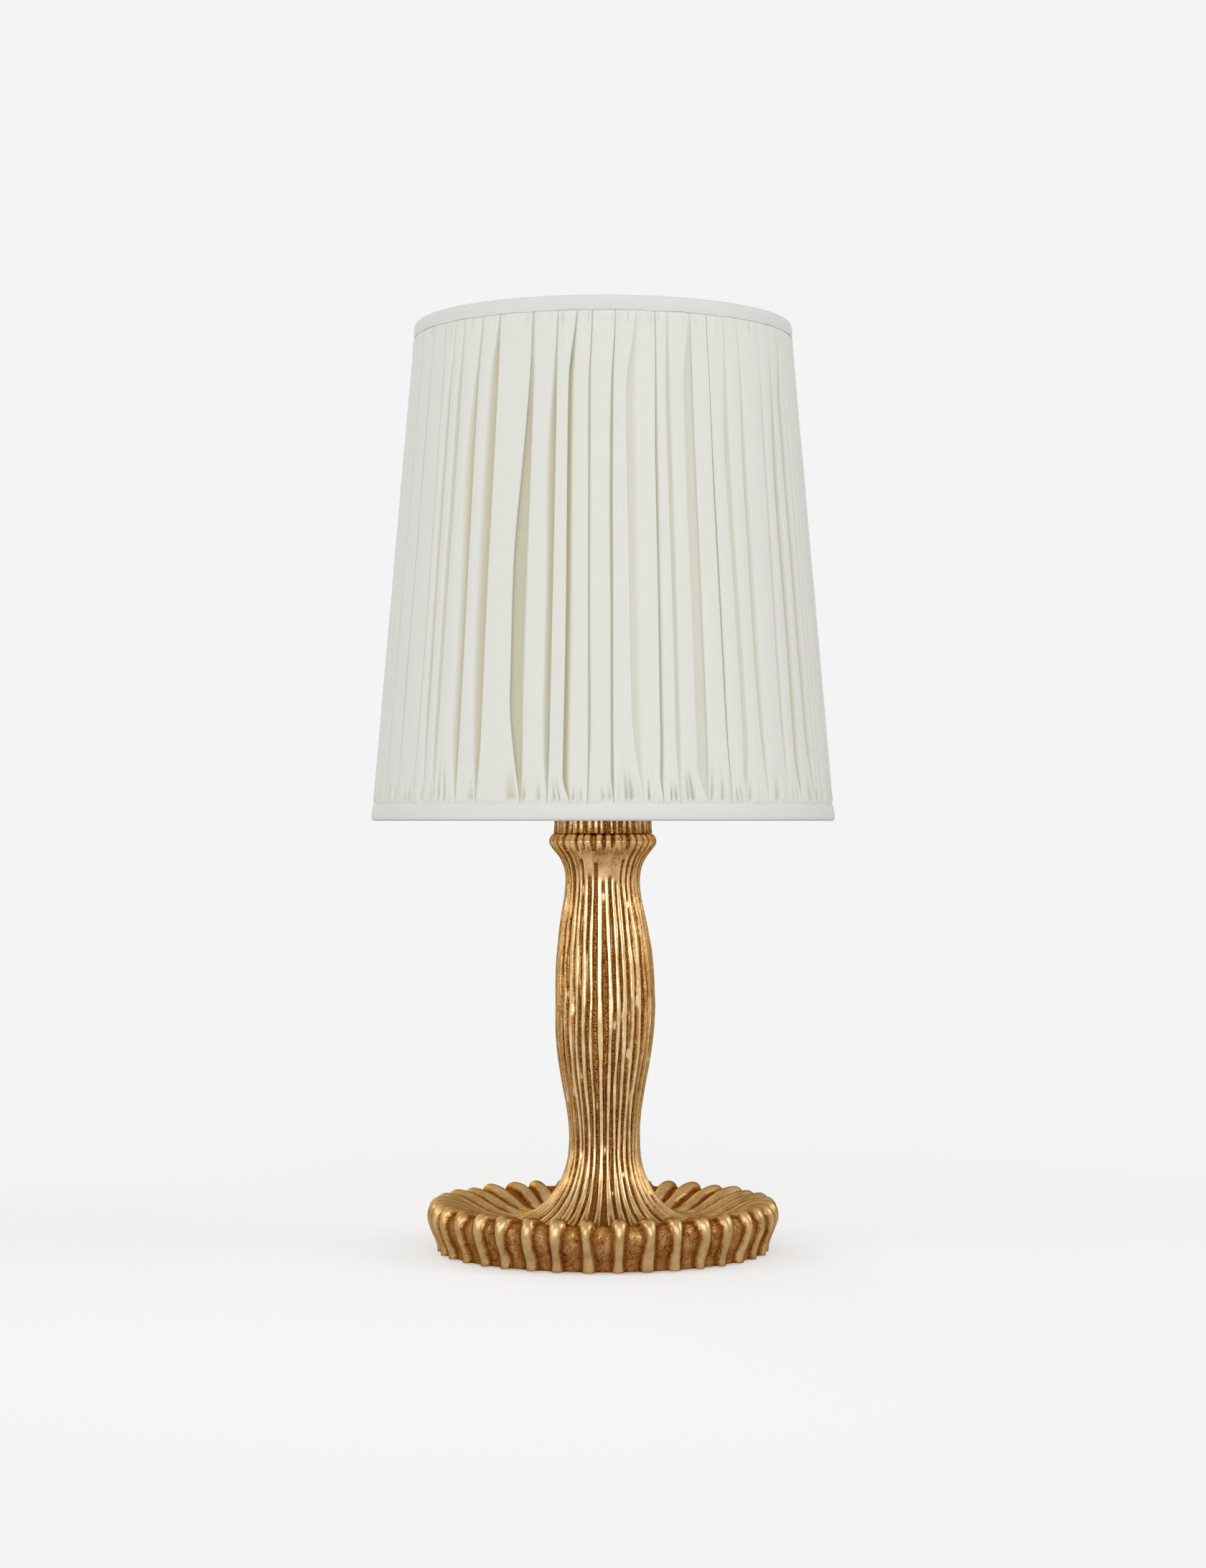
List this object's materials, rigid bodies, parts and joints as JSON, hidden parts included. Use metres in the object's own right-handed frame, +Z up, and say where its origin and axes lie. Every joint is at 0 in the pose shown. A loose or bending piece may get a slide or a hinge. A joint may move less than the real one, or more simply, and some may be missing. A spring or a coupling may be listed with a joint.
{
  "type": "cordless table lamp",
  "caption": "Rechargeable table lamp with a reeded, dished and gilded base, a light module on its neck and a lift-off gathered fabric shade.",
  "frame": {"origin": "middle of the felt pad's underside, on the lamp's axis, where the lamp stands", "axes": "+Z up the stem, +Y to the rear, where the charging port is, and +X to the right seen from the front"},
  "size_m": [0.1522, 0.1522, 0.305],
  "materials": {
    "gilded_resin": "gold leaf over cast resin, rubbed with umber glaze",
    "brown_felt": "pressed brown felt",
    "black_plastic": "moulded black",
    "zinc_steel": "zinc plated",
    "cast_iron": "as cast, oiled",
    "satin_brass": "satin lacquered",
    "white_plastic": "moulded white",
    "cell_wrap": "shrunk film",
    "red_lead": "insulated wire",
    "green_board": "solder resist",
    "turned_aluminium": "turned",
    "opal_plastic": "opal, satin",
    "white_wire": "white lacquered wire",
    "styrene": "translucent sheet",
    "shade_cloth": "gathered woven cloth",
    "trim_cloth": "folded bias tape"
  },
  "bodies": {
    "base": {"base_casting": "gilded_resin", "felt_pad": "brown_felt", "bottom_cover": "black_plastic", "cover_screw_1": "zinc_steel", "cover_screw_2": "zinc_steel", "cover_screw_3": "zinc_steel", "ballast_plate": "cast_iron", "tie_rod": "zinc_steel", "rod_nut": "zinc_steel", "rod_washer": "zinc_steel", "neck_cup": "gilded_resin", "module_nut": "zinc_steel", "module_canister": "satin_brass", "contact_spring": "zinc_steel", "cell_sleeve": "white_plastic", "battery_cell": "cell_wrap", "contact_plate": "zinc_steel", "cell_lead": "red_lead", "charge_board": "green_board", "usb_c_port": "zinc_steel", "led_carrier": "turned_aluminium", "led_lead": "red_lead", "led_board": "white_plastic", "diffuser": "opal_plastic", "centre_post": "satin_brass", "diffuser_nut": "satin_brass", "seat_collar": "satin_brass", "dimmer_switch": "black_plastic", "switch_lead": "red_lead"},
    "button": {"dimmer_button": "satin_brass"},
    "shade": {"spider_frame": "white_wire", "bottom_ring": "white_wire", "shade_liner": "styrene", "pleated_cover": "shade_cloth", "top_trim": "trim_cloth", "bottom_trim": "trim_cloth"},
    "clamp_washer": {"nut_washer": "satin_brass"},
    "clamp_nut": {"shade_nut": "satin_brass"}
  },
  "joints": [
    {"name": "button_press", "type": "slide", "parent": "base", "child": "button", "axis": [0, 0, -1], "range_m": [0, 0.0008], "stiffness_N_per_m": 1500},
    {"name": "shade_lift", "type": "slide", "parent": "base", "child": "shade", "axis": [0, 0, 1], "range_m": [0, 0.165]},
    {"name": "nut_rise", "type": "slide", "parent": "shade", "child": "clamp_washer", "axis": [0, 0, 1], "range_m": [0, 0.005]},
    {"name": "nut_turn", "type": "hinge", "parent": "clamp_washer", "child": "clamp_nut", "pos_m": [0, 0, 0.2921], "axis": [0, 0, 1], "range_deg": [0, 1800]}
  ],
  "couplings": [
    {"joint": "nut_rise", "follows": "nut_turn", "m_per_rad": 0.00015915}
  ]
}
